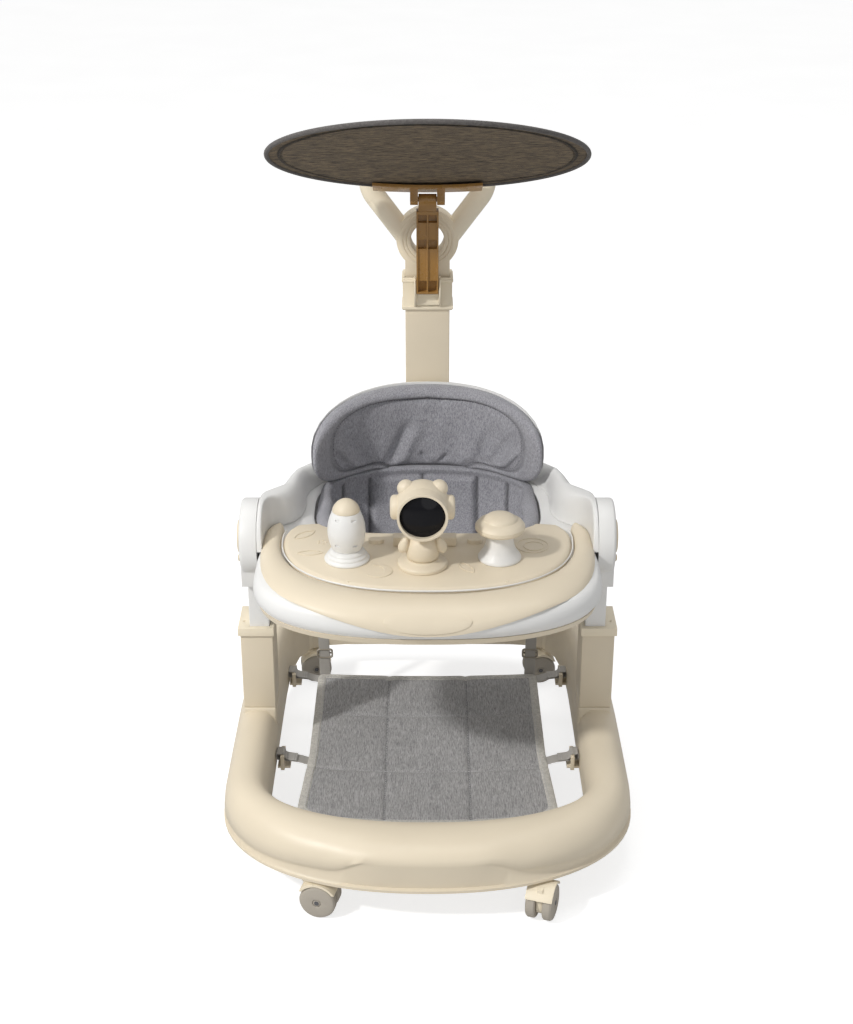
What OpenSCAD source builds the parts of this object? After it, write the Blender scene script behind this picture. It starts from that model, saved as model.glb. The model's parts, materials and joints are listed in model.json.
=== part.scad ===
// Baby walker: oval wheeled base, telescopic legs, toy tray with seat, push post and round sunshade.
// Millimetres, +Z up. Origin on the floor under the middle of the base. The tray faces -Y.

/* [Base] */
// Half of the base's greatest width
base_half_w = 299; // [290:1:310]
// Height of the base's lower lip above the floor
lip_z = 60; // [58:1:64]
// Height of the front bumper's top
bumper_top = 127; // [122:1:132]
// Height of the rear rail's top
rail_top = 152; // [144:1:158]

/* [Casters] */
// Wheel radius
wheel_r = 26; // [24:1:26]
// Distance from the swivel line to the axle
caster_trail = 15; // [12:1:17]

/* [Legs] */
// Height of the column mouths
column_top = 262; // [250:1:280]
// Height of the hub's turning centre
hub_z = 416; // [413:1:419]
// Radius of the round hub covers
hub_r = 57; // [54:1:60]

/* [Tray] */
// Height of the tray's top face
tray_top = 416; // [412:1:420]
// Half of the tray's greatest width
tray_half_w = 249; // [245:1:250]

/* [Handle] */
// Height of the middle of the round window below the handle
ring_z = 783; // [775:1:800]
// Radius of the open hole in the round window
ring_hole_r = 26; // [24:1:28]
// Radius of the handle tube
handle_r = 16.7; // [15:0.1:18]

/* [Sunshade] */
// Radius of the sunshade disc
shade_r = 223; // [200:1:226]
// Upward tilt of the sunshade's front
shade_tilt = 24; // [20:1:28]

/* [Part] */
// Piece to draw, or all

/* [Hidden] */
$fn = 64;
wall = 3;
gap = 0.3;
widest_y = -168;
base_front = 209;
base_rear = 545;
base_steps = 108;
tray_mid_y = -100;
tray_front = 145;
tray_rear = 395;
tray_steps = 84;
seat_y = 133;
seat_half_w = 172;
seat_half_d = 130;
bowl_steps = 72;
hub_y = 10;
column_in = 234;
column_out = 283;
column_y0 = -16;
column_y1 = 48;
leg_in = 238.5;
leg_out = 268.5;
leg_y0 = -12;
leg_y1 = 37;
leg_foot = 180;
leg_head = 371;
post_y = 325;
post_w = 70;
post_d = 40;
post_head = 696;
collar_z0 = 671;
collar_z1 = 724;
panel_top = tray_top + 11;
bend_r = 45;
bend_x = 44.3;
bend_z = ring_z + 91;
arm_lean = 36.6;
hinge_y = 270;
hinge_z = 857;
shade_y = 85;
shade_z = 963;
arm_foot_y = 287.5;
arm_foot_z = 705;
arm_tilt = atan2(arm_foot_y - hinge_y, hinge_z - arm_foot_z);
arm_h = norm([arm_foot_y - hinge_y, hinge_z - arm_foot_z]);
mat_z = 65;
mat_t = 6;
mat_half_w = 190;
mat_back_w = 181;
mat_front = -218;
mat_back = 192;
strap_x = 172;
front_caster_x = 164;
front_caster_y = -332;
rear_caster_x = 209;
rear_caster_y = 300;
socket_bore = 5.05;
stem_r = 5;
rocket_at = [-115, -88, panel_top];
robot_at = [-7, -107, panel_top];
mushroom_at = [103, -85, panel_top];
button_x = [-75, 69];
button_y = -34;
button_stroke = 3;
knob_z = 380;
knob_r = 6;

cream = [0.87, 0.81, 0.70];
light_cream = [0.93, 0.89, 0.80];
white = [0.95, 0.95, 0.94];
grey_fabric = [0.52, 0.52, 0.56];
dark_fabric = [0.33, 0.29, 0.26];
caramel = [0.66, 0.54, 0.38];
black = [0.03, 0.03, 0.04];
steel = [0.70, 0.70, 0.72];

// ---------- shared functions and modules ----------

function smooth(t) = let (u = min(1, max(0, t))) u * u * (3 - 2 * u);
function mix(a, b, t) = a + (b - a) * t;

// Distance from the centre of a rounded oval to its edge, in direction ang.
function oval_reach(ang, a, b, n) = pow(pow(abs(cos(ang)) / a, n) + pow(abs(sin(ang)) / b, n), -1 / n);

// Point on an oval whose front and rear halves differ: half = [half width, front, rear, front n, rear n].
function oval_point(ang, half, mid_y) =
  let (front = sin(ang) < 0,
       reach = oval_reach(ang, half[0], half[front ? 1 : 2], half[front ? 3 : 4]))
  [reach * cos(ang), mid_y + reach * sin(ang)];

// Section point: step d from edge point p towards q, at height z.
function towards(p, q, d, z) = let (u = (q - p) / norm(q - p)) [p[0] + u[0] * d, p[1] + u[1] * d, z];

// A closed sweep: every ring has the same number of points.
module loft_loop(rings) {
  n = len(rings);
  m = len(rings[0]);
  polyhedron(
    points = [for (r = rings) each r],
    faces = [for (i = [0:n - 1], j = [0:m - 1])
      let (a = i * m + j, b = i * m + (j + 1) % m, c = ((i + 1) % n) * m + (j + 1) % m, d = ((i + 1) % n) * m + j)
      each [[a, b, c], [a, c, d]]]);
}

// An open sweep with a flat cap at each end.
module loft_bar(rings) {
  n = len(rings);
  m = len(rings[0]);
  sides = [for (i = [0:n - 2], j = [0:m - 1])
    let (a = i * m + j, b = i * m + (j + 1) % m, c = (i + 1) * m + (j + 1) % m, d = (i + 1) * m + j)
    each [[a, b, c], [a, c, d]]];
  start = [for (j = [m - 1:-1:0]) j];
  end = [for (j = [0:m - 1]) (n - 1) * m + j];
  polyhedron(points = [for (r = rings) each r], faces = concat(sides, [start, end]));
}

// A round bar along X, centred on x = 0.
module x_bar(r, length) {
  rotate([0, 90, 0]) cylinder(r = r, h = length, center = true);
}

// A round bar along Y from y0 to y1.
module y_bar(r, y0, y1) {
  translate([0, y0, 0]) rotate([-90, 0, 0]) cylinder(r = r, h = y1 - y0);
}

// A box from one corner to the opposite one.
module box(low, high) {
  translate(low) cube(high - low);
}

// The same shape on both sides of the object.
module both_sides() {
  children();
  mirror([1, 0, 0]) children();
}

// ---------- base ----------

base_outer = [base_half_w, base_front, base_rear, 2.2, 4];
base_inner = [232, 109, 480, 2.5, 9];

// Height of the wavy ledge on the bumper's outer face, and how deep it is.
function ledge_z(x) = lip_z + 14 + 10 * smooth((270 - abs(x)) / 130) + 20 * smooth((142 - abs(x)) / 60);
function ledge_depth(p) = 4 * smooth((abs(p[0]) - 62) / 50) * smooth((-110 - p[1]) / 80);

// Section of the base at one direction: outer skin from the lip over the top, then back inside.
function base_section(ang) =
  let (p = oval_point(ang, base_outer, widest_y),
       q = oval_point(ang, base_inner, widest_y),
       across = norm(q - p),
       top = mix(bumper_top, rail_top, smooth((p[1] + 60) / 260)),
       ledge = ledge_z(p[0]),
       depth = ledge_depth(p),
       out = 0.42 * across,
       back = 0.40 * across,
       low = lip_z + 28)
  concat(
    [towards(p, q, 0, lip_z), towards(p, q, 0, lip_z + 4), towards(p, q, 4.5, lip_z + 6),
     towards(p, q, 1.5 + depth, ledge - 5), towards(p, q, 1 + depth, ledge - 1), towards(p, q, 1, ledge + 3)],
    [for (t = [24, 46, 68, 90]) towards(p, q, out - (out - 1) * cos(t), mix(ledge + 3, top, sin(t)))],
    [for (t = [90, 66, 42, 18]) towards(q, p, back - back * cos(t), mix(low, top, sin(t)))],
    [towards(q, p, 0, low), towards(q, p, 0, lip_z), towards(q, p, wall, lip_z), towards(q, p, wall, low)],
    [for (t = [30, 60, 90]) towards(q, p, back - (back - wall) * cos(t), mix(low, top - wall, sin(t)))],
    [for (t = [90, 52, 20]) towards(p, q, out - (out - 4 - depth) * cos(t), mix(ledge, top - wall, sin(t)))],
    [towards(p, q, 5 + depth, ledge - 6), towards(p, q, 8, lip_z + 6), towards(p, q, 8, lip_z)]);

module base_shell() {
  color(cream) loft_loop([for (i = [0:base_steps - 1]) base_section(360 * i / base_steps)]);
}

module caster_place(front, side) {
  x = front ? front_caster_x : rear_caster_x;
  y = front ? front_caster_y : rear_caster_y;
  translate([side * x, y, 0]) children();
}

module caster_sockets() {
  color(light_cream)
    for (front = [true, false], side = [-1, 1])
      caster_place(front, side)
        difference() {
          translate([0, 0, 61]) cylinder(r = 11, h = 39);
          translate([0, 0, 60]) cylinder(r = socket_bore, h = 36);
        }
}

module column_sockets() {
  color(cream)
    both_sides()
      difference() {
        box([column_in - 1, column_y0 - 2, 96], [column_out + 1, column_y1 + 2, 134]);
        box([column_in + 8, column_y0 + 8, 90], [column_out - 8, column_y1 - 8, 140]);
      }
}

module column() {
  color(cream)
    difference() {
      union() {
        box([column_in, column_y0, 134.2], [column_out, column_y1, column_top]);
        box([column_in + 12, column_y1 - 1, 150], [column_out - 8, column_y1 + 9, column_top - 26]);
      }
      box([column_in + wall, column_y0 + wall, 130], [column_out - wall, column_y1 - wall, column_top + 1]);
    }
}

module left_column() {
  mirror([1, 0, 0]) column();
}

module right_column() {
  column();
}

module column_caps() {
  color(light_cream)
    both_sides()
      difference() {
        union() {
          box([column_in - 2, column_y0 - 4, column_top + 0.1], [column_out + 3, column_y1 + 4, column_top + 13]);
          box([column_in + wall + gap, column_y0 + wall + gap, column_top - 8],
              [column_out - wall - gap, column_y1 - wall - gap, column_top + 1]);
        }
        box([leg_in - 0.4, leg_y0 - 0.4, column_top - 20], [leg_out + 0.4, leg_y1 + 0.4, column_top + 20]);
        translate([278, 4, column_top + 6]) cylinder(r = 2, h = 10);
      }
}

// ---------- foot mat ----------

strap_y = [-65, 180];

module strap_hooks() {
  color(cream)
    for (side = [-1, 1], y = strap_y)
      translate([side * 221, y, 0])
        difference() {
          union() {
            box([-3, -16, 62], [3, 16, 86]);
            box([-8, -10, 62], [11.5, 10, 66]);
          }
          box([-5, -11.6, 70.5], [5, 11.6, 82]);
        }
}

module foot_mat() {
  cut = 26;
  half = [[mat_half_w - cut, mat_front], [mat_half_w, mat_front + cut], [mat_back_w, mat_front + 170],
    [mat_back_w, mat_back]];
  color(grey_fabric)
    translate([0, 0, mat_z])
      linear_extrude(mat_t)
        polygon(concat(half, [for (i = [3:-1:0]) [-half[i][0], half[i][1]]]));
}

module side_straps() {
  color(grey_fabric)
    for (side = [-1, 1], y = strap_y)
      translate([side * 202.5, y, mat_z + mat_t + 1])
        box([-21.5, -11, 0], [21.5, 11, 2]);
}

module rear_straps() {
  color(grey_fabric)
    both_sides() {
      box([strap_x - 10, mat_back + 0.4, mat_z], [strap_x + 10, mat_back + 3, tray_top - 67]);
      box([strap_x - 12.5, mat_back - 2.2, 104], [strap_x + 12.5, mat_back + 0.2, 114]);
      box([strap_x - 12.5, mat_back + 3.2, 104], [strap_x + 12.5, mat_back + 6, 114]);
    }
}

// ---------- push post and handle ----------

module post_socket() {
  color(cream)
    difference() {
      box([-52, post_y - 12, 96], [52, post_y + 36, 176]);
      box([-post_w / 2 - 0.2, post_y - post_d / 2 - 1, 90], [post_w / 2 + 0.2, post_y + post_d / 2 + 0.2, 180]);
    }
}

module push_post() {
  color(cream)
    difference() {
      box([-post_w / 2, post_y - post_d / 2, 112], [post_w / 2, post_y + post_d / 2, post_head]);
      box([-post_w / 2 + wall, post_y - post_d / 2 + wall, 100],
          [post_w / 2 - wall, post_y + post_d / 2 - wall, post_head + 1]);
    }
}

module post_collar() {
  color(light_cream)
    difference() {
      union() {
        box([-39, post_y - 24, collar_z0], [39, post_y + 24, collar_z1]);
        box([-40.5, post_y - 25.5, collar_z0 + 2], [40.5, post_y + 25.5, collar_z0 + 7]);
        box([-40.5, post_y - 25.5, collar_z1 - 7], [40.5, post_y + 25.5, collar_z1 - 3]);
      }
      box([-post_w / 2 - 0.1, post_y - post_d / 2 - 0.1, collar_z0 - 1],
          [post_w / 2 + 0.1, post_y + post_d / 2 + 0.1, collar_z1 + 1]);
    }
}

// Tube in the handle's plane from [x, z] point p to point q.
module plane_tube(p, q, r) {
  d = q - p;
  translate([p[0], post_y, p[1]]) rotate([0, atan2(d[0], d[1]), 0]) cylinder(r = r, h = norm(d));
}

module handle_bend(r) {
  translate([bend_x, post_y, bend_z]) rotate([90, 0, 0])
    rotate([0, 0, -arm_lean]) rotate_extrude(angle = 90 + arm_lean) translate([bend_r, 0]) circle(r = r);
}

module handle_yoke() {
  start = [34, ring_z + 2];
  finish = [bend_x + bend_r * cos(arm_lean), bend_z - bend_r * sin(arm_lean)];
  color(light_cream)
    difference() {
      union() {
        translate([0, 0, ring_z]) y_bar(48.5, post_y - 15, post_y + 15);
        translate([0, 0, ring_z]) y_bar(43, post_y - 18, post_y + 18);
        box([-34.9, post_y - 15, collar_z1 - 20], [34.9, post_y + 15, ring_z - 24]);
        both_sides() {
          plane_tube(start, finish, handle_r);
          handle_bend(handle_r);
        }
        translate([0, post_y, bend_z + bend_r]) x_bar(handle_r - 0.2, 2 * bend_x + 6);
      }
      translate([0, 0, ring_z]) y_bar(33.05, post_y - 20, post_y + 20);
      for (y = [post_y - 18, post_y + 18])
        translate([0, y, ring_z]) rotate([90, 0, 0])
          rotate_extrude() translate([36.8, -1]) square([1.6, 2]);
    }
}

module ring_insert() {
  color(light_cream)
    translate([0, 0, ring_z])
      difference() {
        union() {
          y_bar(33, post_y - 17.5, post_y + 17.5);
          y_bar(31, post_y - 19.5, post_y + 19.5);
        }
        y_bar(ring_hole_r, post_y - 20, post_y + 20);
      }
}

module handle_grip() {
  color(cream)
    translate([0, post_y, bend_z + bend_r])
      difference() {
        x_bar(handle_r + 2.2, 2 * bend_x - 4);
        x_bar(handle_r + 0.05, 2 * bend_x);
      }
}

// ---------- sunshade ----------

module sunshade_clip() {
  front = post_y - 25.8;
  rib = [[front, collar_z1 + 4], [front - 20, collar_z1 + 4], [front - 20, collar_z1 - 22], [front - 13, collar_z0 + 20],
    [front - 5, collar_z0 + 10], [front, collar_z0 + 6]];
  color(light_cream) {
    both_sides()
      translate([17.9, 0, 0]) rotate([90, 0, 90]) linear_extrude(3) polygon(rib);
    box([-18, front - 3.8, collar_z0 + 10], [18, front, collar_z1 - 2]);
    box([-18, front - 12, arm_foot_z - 6], [18, front - 3, arm_foot_z - 3]);
  }
}

arm_w = 34;
arm_d = 15;
arm_windows = [[3, 22], [76, 91], [118, arm_h - 23]];

// Y of the arm's front and back faces at height z: the arm bows forwards.
function arm_front(z) = -arm_d / 2 - 5 * sin(180 * min(1, z / (arm_h - 8)));

// Side view of a strip of the arm from z0 to z1, from depth d0 to d1 behind its front face.
module arm_strip(z0, z1, d0, d1) {
  steps = 12;
  rise = [for (i = [0:steps]) mix(z0, z1, i / steps)];
  polygon(concat([for (z = rise) [arm_front(z) + d0, z]],
    [for (i = [steps:-1:0]) [arm_front(rise[i]) + d1, rise[i]]]));
}

module arm_slab(x, w, z0, z1, d0, d1) {
  translate([x - w / 2, 0, 0]) rotate([90, 0, 90]) linear_extrude(w) arm_strip(z0, z1, d0, d1);
}

module sunshade_arm() {
  pocket_w = arm_w / 2 - 3.6;
  color(caramel)
    translate([0, arm_foot_y, arm_foot_z]) rotate([arm_tilt, 0, 0])
      difference() {
        union() {
          arm_slab(0, arm_w, 0, arm_h - 17, 0, arm_d);
          arm_slab(0, 27.6, arm_h - 18, arm_h - 3, 0.5, arm_d - 0.5);
          translate([0, 0, arm_h]) x_bar(arm_d / 2 + 0.6, 27.6);
        }
        for (side = [-1, 1]) {
          arm_slab(side * (1.2 + pocket_w / 2), pocket_w, 3, arm_h - 22, -6, 2.5);
          for (w = arm_windows)
            arm_slab(side * (1.2 + pocket_w / 2), pocket_w, w[0], w[1], -6, 10);
        }
        translate([0, 0, arm_h]) x_bar(4, 40);
      }
}

module at_shade() {
  translate([0, shade_y, shade_z]) rotate([-shade_tilt, 0, 0]) children();
}

module at_hinge() {
  translate([0, hinge_y, hinge_z]) children();
}

module sunshade_pin() {
  color(steel)
    at_hinge() x_bar(3.95, 53);
}

module sunshade_clamp() {
  color(caramel)
    difference() {
      union() {
        at_shade()
          intersection() {
            difference() {
              translate([0, 0, -8.5]) cylinder(r = shade_r + 7, h = 17);
              translate([0, 0, -20]) cylinder(r = shade_r - 32, h = 40);
            }
            box([-82.5, 100, -20], [82.5, 260, 20]);
          }
        for (side = [-1, 1])
          translate([side * 20.4, 0, 0]) {
            at_hinge() x_bar(9, 12);
            intersection() {
              at_shade() box([-6, 196, -28], [6, 217, -7]);
              box([-10, 200, 780], [10, 320, 1000]);
            }
          }
      }
      at_shade() translate([0, 0, -4]) cylinder(r = shade_r + 3.8, h = 8);
      at_hinge() x_bar(4, 90);
    }
}

module sunshade_disc() {
  color(dark_fabric) at_shade() translate([0, 0, -1]) cylinder(r = shade_r - 3.2, h = 2);
}

module sunshade_rim() {
  color(dark_fabric)
    at_shade() rotate_extrude() translate([shade_r, 0]) circle(r = 3.1);
}

// ---------- legs and hubs ----------

module leg() {
  color(white)
    difference() {
      box([leg_in, leg_y0, leg_foot], [leg_out, leg_y1, leg_head]);
      box([leg_in + wall, leg_y0 + wall, leg_foot - 1], [leg_out - wall, leg_y1 - wall, leg_head - wall]);
    }
}

module left_leg() {
  mirror([1, 0, 0]) leg();
}

module right_leg() {
  leg();
}

cover_x0 = tray_half_w + 0.3;
cover_x1 = 275;

cover_t = cover_x1 - cover_x0;
cover_profile = [[0, 0], [hub_r, 0], [hub_r, cover_t - 5], [hub_r - 0.7, cover_t - 2.6], [hub_r - 2.6, cover_t - 0.7],
  [hub_r - 5, cover_t], [0, cover_t]];

module hub_cover() {
  color(white)
    difference() {
      union() {
        translate([cover_x0, hub_y, hub_z]) rotate([0, 90, 0]) rotate_extrude() polygon(cover_profile);
        box([233, -30, 351], [cover_x1, 66, tray_top - 44.5]);
        box([cover_x0, -30, 351], [cover_x1, 66, hub_z]);
      }
      box([leg_in - 0.1, leg_y0 - 0.1, 340], [leg_out + 0.1, leg_y1 + 0.1, leg_head + 0.1]);
      translate([(cover_x1 + 256) / 2, hub_y, knob_z]) x_bar(knob_r + gap, cover_x1 - 256 + 0.01);
      translate([cover_x1, hub_y, hub_z]) x_bar(25, 6);
    }
}

module left_hub_cover() {
  mirror([1, 0, 0]) hub_cover();
}

module right_hub_cover() {
  hub_cover();
}

// The hubs' inner halves and the raised rim behind them: [y, inner x, height, squareness of the inner side].
shoulder_stations = [
  [-46, 241, 4, 5], [-42, 241, 24, 5], [-32, 241, 39, 5], [-18, 240.5, 50, 5], [-2, 240, 56, 5], [14, 238, 57, 5],
  [28, 234, 55, 4.6], [40, 226, 53, 3.6], [50, 211, 51.5, 2.6], [62, 199, 50, 2.2], [80, 191, 48, 2], [100, 188, 46.5, 2],
  [122, 187, 45, 2], [145, 189, 43, 2.1], [170, 185, 41, 2.3], [200, 169, 36, 2.4], [225, 149, 27, 2.3],
  [246, 126, 14, 2.2], [254, 115, 2, 2.2]];

// Half the tray's width at y, behind its widest line.
function tray_edge(y) = tray_half_w * pow(1 - pow(max(0, y - tray_mid_y) / tray_rear, 2.85), 1 / 2.85);

// Section across the shoulder: square where it meets the hub cover, rounded behind it.
function shoulder_ring(st) =
  let (y = st[0],
       x0 = st[1],
       x1 = mix(cover_x0 - 0.3, tray_edge(y) - 5, smooth((y - 48) / 50)),
       half = (x1 - x0) / 2,
       outer_n = mix(14, st[3], smooth((y - 40) / 60)))
  [for (a = [0:12:180])
    let (e = 2 / (a < 90 ? outer_n : st[3]))
    [(x0 + x1) / 2 + half * sign(cos(a)) * pow(abs(cos(a)), e), y, tray_top + 0.2 + st[2] * pow(abs(sin(a)), e)]];

module hub_shoulders() {
  color(white)
    both_sides() loft_bar([for (st = shoulder_stations) shoulder_ring(st)]);
}

module hub_caps() {
  color(cream)
    both_sides()
      translate([cover_x1 - 3, hub_y, hub_z]) rotate([0, 90, 0])
        rotate_extrude()
          polygon([[0, 0.2], [24.8, 0.2], [24.8, 3.2], [27, 3.2], [27, 6], [24, 9], [18, 9], [16, 7.8], [0, 7.8]]);
}

module lock_knob() {
  color(cream)
    translate([0, hub_y, knob_z]) rotate([0, 90, 0])
      rotate_extrude()
        polygon([[0, 262], [knob_r, 262], [knob_r, 281], [knob_r - 1, 282.6], [knob_r - 3, 283.4], [0, 283.8]]);
}

module left_lock_knob() {
  mirror([1, 0, 0]) lock_knob();
}

module right_lock_knob() {
  lock_knob();
}

// ---------- tray ----------

tray_outer = [tray_half_w, tray_front, tray_rear, 2.4, 2.85];

// Edge of the seat opening, grown outwards: straighter at the front than at the back.
function opening_point(ang, grow) =
  oval_point(ang, [seat_half_w + grow, seat_half_d + grow, seat_half_d + grow, 4, 2.25], seat_y);

// The tray's inner edge, straight in from its outer edge point p.
function opening_behind(p) = opening_point(atan2(p[1] - seat_y, p[0]), 2);

function tray_section(ang) =
  let (p = oval_point(ang, tray_outer, tray_mid_y), q = opening_behind(p))
  [towards(p, q, 9, tray_top - 38), towards(p, q, 2.5, tray_top - 30), towards(p, q, 0, tray_top - 21),
   towards(p, q, 1.5, tray_top - 11), towards(p, q, 6, tray_top - 3.5), towards(p, q, 12, tray_top),
   towards(q, p, 5, tray_top - 0.6), towards(q, p, 0, tray_top - 4), towards(q, p, 0, tray_top - 30),
   towards(q, p, wall, tray_top - 30), towards(q, p, wall, tray_top - wall - 1),
   towards(p, q, 13, tray_top - wall), towards(p, q, 7, tray_top - 7), towards(p, q, 4, tray_top - 13),
   towards(p, q, 3, tray_top - 21), towards(p, q, 5.5, tray_top - 29), towards(p, q, 12, tray_top - 38)];

module tray_shell() {
  color(white) loft_loop([for (i = [0:tray_steps - 1]) tray_section(360 * i / tray_steps)]);
}

function band_section(ang) =
  let (p = oval_point(ang, tray_outer, tray_mid_y), q = opening_behind(p))
  [towards(p, q, 7.5, tray_top - 38.2), towards(p, q, 13, tray_top - 38.2), towards(p, q, 20, tray_top - 49),
   towards(p, q, 16, tray_top - 50), towards(p, q, 11, tray_top - 47)];

module tray_edge_band() {
  steps = 54;
  color(cream) loft_bar([for (i = [0:steps]) band_section(-194 + 208 * i / steps)]);
}

// The trim lies between two ovals round the panel.
trim_mid_y = -15;
trim_inner = [214.5, 169.5, 140, 2.35, 2.35];
trim_outer = [243, 232, 165, 2.8, 2.35];
trim_end = 103;

// Section of the trim, grown outwards by lift: it hangs over the tray's front edge and lies on top at the tips.
function trim_section(ang, lift = 0) =
  let (away = abs(ang + 90),
       low = 1 - smooth((away - 2) / 44),
       round_off = 0.5 - 0.5 * sqrt(1 - pow(max(0, (away - trim_end + 8) / 8.2), 2)),
       a = oval_point(ang, trim_inner, trim_mid_y),
       b = oval_point(ang, trim_outer, trim_mid_y),
       p = mix(b, a, round_off),
       q = mix(a, b, round_off),
       w = norm(p - q),
       h = (1 - 0.75 * round_off) * (11 - 2 * low),
       base = tray_top + 0.3,
       drop = 28.5 * low)
  [towards(q, p, 0, base), towards(q, p, 0.6 - lift, base + 0.4 * h), towards(q, p, 0.07 * w, base + 0.75 * h + lift),
   towards(q, p, 0.2 * w, base + h + lift), towards(q, p, 0.38 * w, base + 1.12 * h + lift),
   towards(q, p, 0.56 * w, base + 1.08 * h - 0.06 * drop + lift),
   towards(q, p, 0.72 * w, base + 0.9 * h - 0.16 * drop + lift),
   towards(q, p, 0.85 * w + lift * 0.5, base + 0.66 * h - 0.3 * drop + lift * 0.7),
   towards(q, p, 0.95 * w + lift, base + 0.36 * h - 0.56 * drop + lift * 0.5), towards(q, p, w + lift, base - 0.78 * drop),
   towards(q, p, w + lift, base - drop), towards(q, p, w - 3, base - drop), towards(q, p, w - 6, base - 0.4 * drop)];

module tray_trim() {
  steps = 60;
  color(cream)
    loft_bar([for (i = [0:steps]) trim_section(-90 + trim_end * sin(90 * (2 * i / steps - 1)))]);
}

// The oval plate is the trim's own skin, raised a little.
module front_plate() {
  color(cream)
    intersection() {
      loft_bar([for (a = [-110:4:-70]) trim_section(a, 1.3)]);
      translate([0, -243, tray_top - 7]) rotate([55, 0, 0]) translate([0, 0, -6])
        linear_extrude(22) polygon([for (a = [0:8:352]) [60 * cos(a), 17 * sin(a)]]);
    }
}

// Runs a smoothing pass over a closed outline, n times.
function soften(p, n) =
  n == 0 ? p
  : let (k = len(p)) soften([for (i = [0:k - 1]) (p[(i + k - 1) % k] + 2 * p[i] + p[(i + 1) % k]) / 4], n - 1);

// Outline of the play panel before the seat opening is cut: an oval front and two rounded horns.
panel_half = [212, 167, 84, 2.35, 2.6];
panel_edge = soften(concat(
  [for (a = [-188:4:8]) oval_point(a, panel_half, trim_mid_y)],
  [[200, 24], [193, 33], [183, 38], [172, 38], [-172, 38], [-183, 38], [-193, 33], [-200, 24]]), 2);

// The outline drawn in by inset, at height z.
function panel_ring(inset, z) = let (k = len(panel_edge))
  [for (i = [0:k - 1])
    let (d = panel_edge[(i + 1) % k] - panel_edge[(i + k - 1) % k], p = panel_edge[i])
    [p[0] - inset * d[1] / norm(d), p[1] + inset * d[0] / norm(d), z]];

module ring_2d(r, line) {
  difference() {
    circle(r = r);
    circle(r = r - line);
  }
}

module crescent_2d(r, line) {
  difference() {
    circle(r = r);
    translate([-r * 0.42, r * 0.1]) circle(r = r * 0.86 - line);
  }
}

module leaf_2d(r, line) {
  difference() {
    intersection_for(s = [-1, 1]) translate([0, s * r * 0.72]) circle(r = r);
    intersection_for(s = [-1, 1]) translate([0, s * r * 0.72]) circle(r = r - line);
  }
}

module button_slot(x, r, z0, z1) {
  for (s = [-1, 1]) translate([x + s * 4, button_y, z0]) cylinder(r = r, h = z1 - z0);
  box([x - 4, button_y - r, z0], [x + 4, button_y + r, z1]);
}

module play_panel() {
  color(cream)
    difference() {
      loft_bar([panel_ring(1, tray_top + 0.2), panel_ring(0, tray_top + 3), panel_ring(1.5, tray_top + 7),
        panel_ring(4.5, tray_top + 9.8), panel_ring(9, panel_top)]);
      translate([0, 0, tray_top - 1]) linear_extrude(panel_top - tray_top + 2)
        polygon([for (a = [0:5:355]) opening_point(a, 8)]);
      for (x = button_x) {
        button_slot(x, 7 + gap, tray_top - 1, panel_top + 1);
        button_slot(x, 9 + gap, tray_top - 1, tray_top + 6 + gap);
      }
    }
}

// Raised outlines on the panel: a pod, a fish, flower dots, a moon, a carrot and a fruit.
module panel_relief() {
  color(cream)
    translate([0, 0, panel_top + 0.05]) linear_extrude(0.9) {
      translate([-181, -10]) rotate(44) leaf_2d(30, 1.2);
      translate([-169, -70]) rotate(4) leaf_2d(28, 1.2);
      for (a = [0:72:288]) translate([-154 + 6 * cos(a), -34 + 6 * sin(a)]) circle(r = 1.6);
      translate([-69, -127]) crescent_2d(20, 1.2);
      translate([55, -116]) rotate(-58) leaf_2d(28, 1.2);
      translate([152, -46]) ring_2d(24, 1.2);
      translate([154, -48]) ring_2d(15, 1.2);
    }
}

module panel_screws() {
  color(light_cream)
    both_sides() translate([110, -158, panel_top - 1.2]) cylinder(r = 1.8, h = 1.6);
}

module press_button(x) {
  color(cream)
    translate([0, 0, tray_top + button_stroke + 0.5]) {
      button_slot(x, 7, 0, panel_top - tray_top + 2);
      button_slot(x, 9, 0, 2.5);
    }
}

module left_button() {
  press_button(button_x[0]);
}

module right_button() {
  press_button(button_x[1]);
}

// A low bar behind the robot.
module toy_bar() {
  color(cream)
    translate([-4, -40, panel_top])
      difference() {
        box([-46, -9, 0.1], [46, 9, 14]);
        translate([0, 0, 60]) y_bar(52, -20, 20);
      }
}

// ---------- toys ----------

module rocket_base() {
  color(white)
    translate(rocket_at)
      difference() {
        rotate_extrude()
          polygon([[0, 0.1], [32.5, 0.1], [32.5, 3], [29, 6], [29, 8.5], [25.5, 11], [25.5, 13], [21, 17], [0, 17]]);
        translate([0, 0, 9]) cylinder(r = 6.05, h = 20);
      }
}

module rocket_body() {
  color(white)
    translate(rocket_at)
      difference() {
        rotate_extrude()
          polygon([[0, 9.5], [6, 9.5], [6, 17.3], [20.5, 17.3], [24.5, 27], [26.8, 38], [27.2, 46], [26.3, 56], [24, 65],
            [19.9, 75.6], [0, 75.6]]);
        for (a = [30:60:330])
          rotate(a) {
            translate([-3.5, -30, 28.5]) cube([7, 7, 3.6]);
            translate([-3.5, -30, 66.5]) cube([7, 9, 3.6]);
          }
      }
}

module rocket_nose() {
  color(cream)
    translate(rocket_at + [0, 0, 75.7])
      rotate_extrude()
        polygon([[0, 0], [19.7, 0], [18.9, 4], [17, 8], [14, 11.8], [9.5, 15.4], [5, 17.6], [0, 18.4]]);
}

module robot_base() {
  color(cream)
    translate(robot_at)
      rotate_extrude()
        polygon([[0, 0.1], [35.5, 0.1], [35.5, 5], [33, 7.5], [25, 9.5], [22.5, 12], [0, 12]]);
}

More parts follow.
